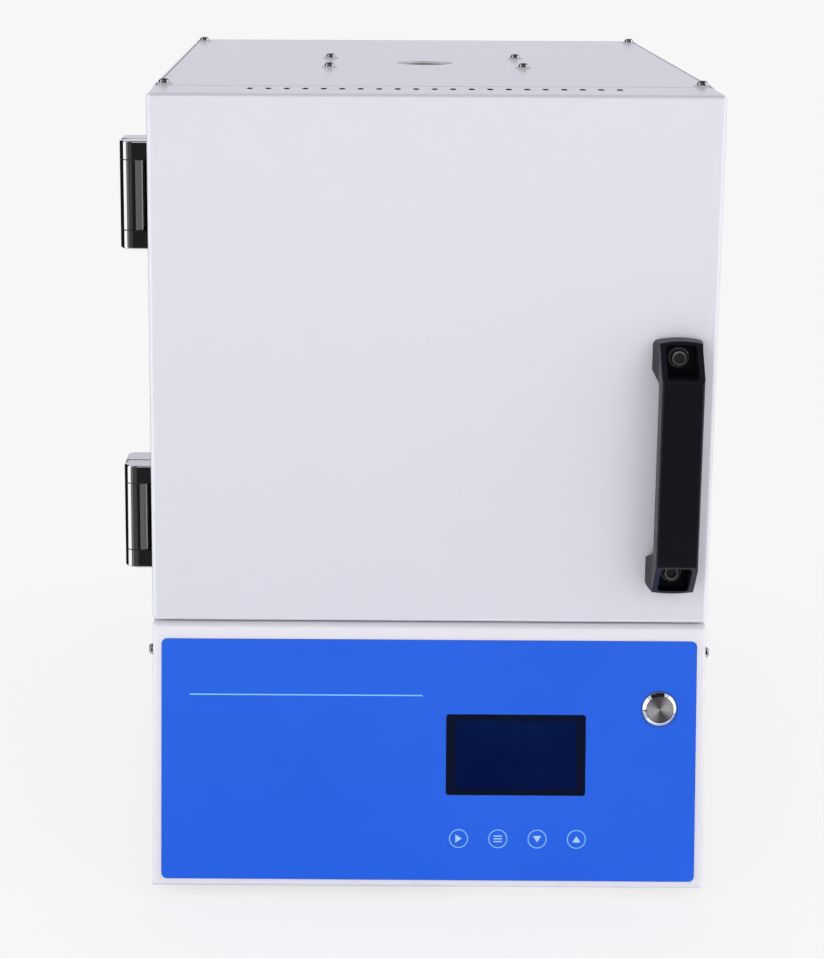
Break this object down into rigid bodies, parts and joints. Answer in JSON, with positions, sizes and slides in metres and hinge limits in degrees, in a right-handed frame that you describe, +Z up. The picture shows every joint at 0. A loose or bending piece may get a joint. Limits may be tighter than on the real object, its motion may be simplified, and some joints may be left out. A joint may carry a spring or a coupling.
{
  "type": "dental lab furnace",
  "caption": "Bench-top dental lab furnace: side-hung insulated door with offset pull handle, fibre-lined chamber, top flue and a control base with a raked touch panel.",
  "frame": {"origin": "on the bench plane under the middle of the base's footprint, in the cabinet's mid-plane", "axes": "+X to the viewer's right, +Y towards the rear, +Z up; the door and the controls face -Y"},
  "size_m": [0.4265, 0.6425, 0.5828],
  "materials": {
    "white_enamel": "satin",
    "zinc_plate": "satin",
    "stainless": "satin",
    "chrome": "polished",
    "screw_steel": "satin",
    "handle_black": "satin",
    "overlay_blue": "satin",
    "window_black": "gloss",
    "board_green": "satin",
    "module_grey": "satin",
    "black_plastic": "matte",
    "heat_sink_aluminium": "satin",
    "foot_rubber": "matte",
    "ceramic_fibre": "matte",
    "alumina": "matte",
    "resistance_wire": "matte",
    "magnet": "satin"
  },
  "bodies": {
    "cabinet": {"base_bottom_pan": "zinc_plate", "base_left_side": "white_enamel", "base_rear_panel": "white_enamel", "base_right_side": "white_enamel", "base_screws": "screw_steel", "base_top_deck": "white_enamel", "cabinet_floor": "zinc_plate", "cabinet_left_side": "white_enamel", "cabinet_right_side": "white_enamel", "cabinet_screws": "screw_steel", "catch_magnets": "magnet", "control_fascia": "white_enamel", "controller_board": "board_green", "display_module": "module_grey", "display_window": "window_black", "element_tubes": "alumina", "fan_frame": "black_plastic", "fan_guard": "screw_steel", "flue_tube": "stainless", "front_frame": "stainless", "hearth_plate": "alumina", "heat_sink": "heat_sink_aluminium", "heating_coils": "resistance_wire", "insulation_floor": "ceramic_fibre", "insulation_left": "ceramic_fibre", "insulation_rear": "ceramic_fibre", "insulation_right": "ceramic_fibre", "insulation_roof": "ceramic_fibre", "keypad_overlay": "overlay_blue", "lower_hinge_body_leaf": "chrome", "lower_hinge_pin": "screw_steel", "power_button_bezel": "chrome", "power_button_nut": "screw_steel", "power_inlet": "black_plastic", "power_supply": "zinc_plate", "rear_cover": "white_enamel", "rubber_feet": "foot_rubber", "solid_state_relay": "black_plastic", "terminal_block": "black_plastic", "thermocouple": "alumina", "top_panel": "white_enamel", "upper_hinge_body_leaf": "chrome", "upper_hinge_pin": "screw_steel"},
    "door": {"door_shell": "white_enamel", "door_back_plate": "stainless", "door_insulation": "ceramic_fibre", "door_seal": "ceramic_fibre", "catch_plate": "zinc_plate", "door_handle": "handle_black", "handle_screws": "screw_steel", "door_screws": "screw_steel", "upper_hinge_door_leaf": "chrome", "lower_hinge_door_leaf": "chrome"},
    "power_button": {"power_button_cap": "stainless"},
    "fan": {"fan_rotor": "black_plastic"},
    "key_run_cap": {"key_run": "overlay_blue"},
    "key_set_cap": {"key_set": "overlay_blue"},
    "key_down_cap": {"key_down": "overlay_blue"},
    "key_up_cap": {"key_up": "overlay_blue"}
  },
  "joints": [
    {"name": "door_hinge", "type": "hinge", "parent": "cabinet", "child": "door", "pos_m": [-0.2135, -0.2295, 0.39], "axis": [0, 0, -1], "range_deg": [0, 160]},
    {"name": "power_button_press", "type": "slide", "parent": "cabinet", "child": "power_button", "axis": [0, 0.9849, -0.1729], "range_m": [0, 0.003], "stiffness_N_per_m": 600},
    {"name": "fan_spin", "type": "hinge", "parent": "cabinet", "child": "fan", "pos_m": [-0.11, 0.302, 0.107], "axis": [0, 1, 0], "continuous": true},
    {"name": "key_run_press", "type": "slide", "parent": "cabinet", "child": "key_run_cap", "axis": [0, 0.9849, -0.1729], "range_m": [0, 0.0004], "stiffness_N_per_m": 2000},
    {"name": "key_set_press", "type": "slide", "parent": "cabinet", "child": "key_set_cap", "axis": [0, 0.9849, -0.1729], "range_m": [0, 0.0004], "stiffness_N_per_m": 2000},
    {"name": "key_down_press", "type": "slide", "parent": "cabinet", "child": "key_down_cap", "axis": [0, 0.9849, -0.1729], "range_m": [0, 0.0004], "stiffness_N_per_m": 2000},
    {"name": "key_up_press", "type": "slide", "parent": "cabinet", "child": "key_up_cap", "axis": [0, 0.9849, -0.1729], "range_m": [0, 0.0004], "stiffness_N_per_m": 2000}
  ]
}
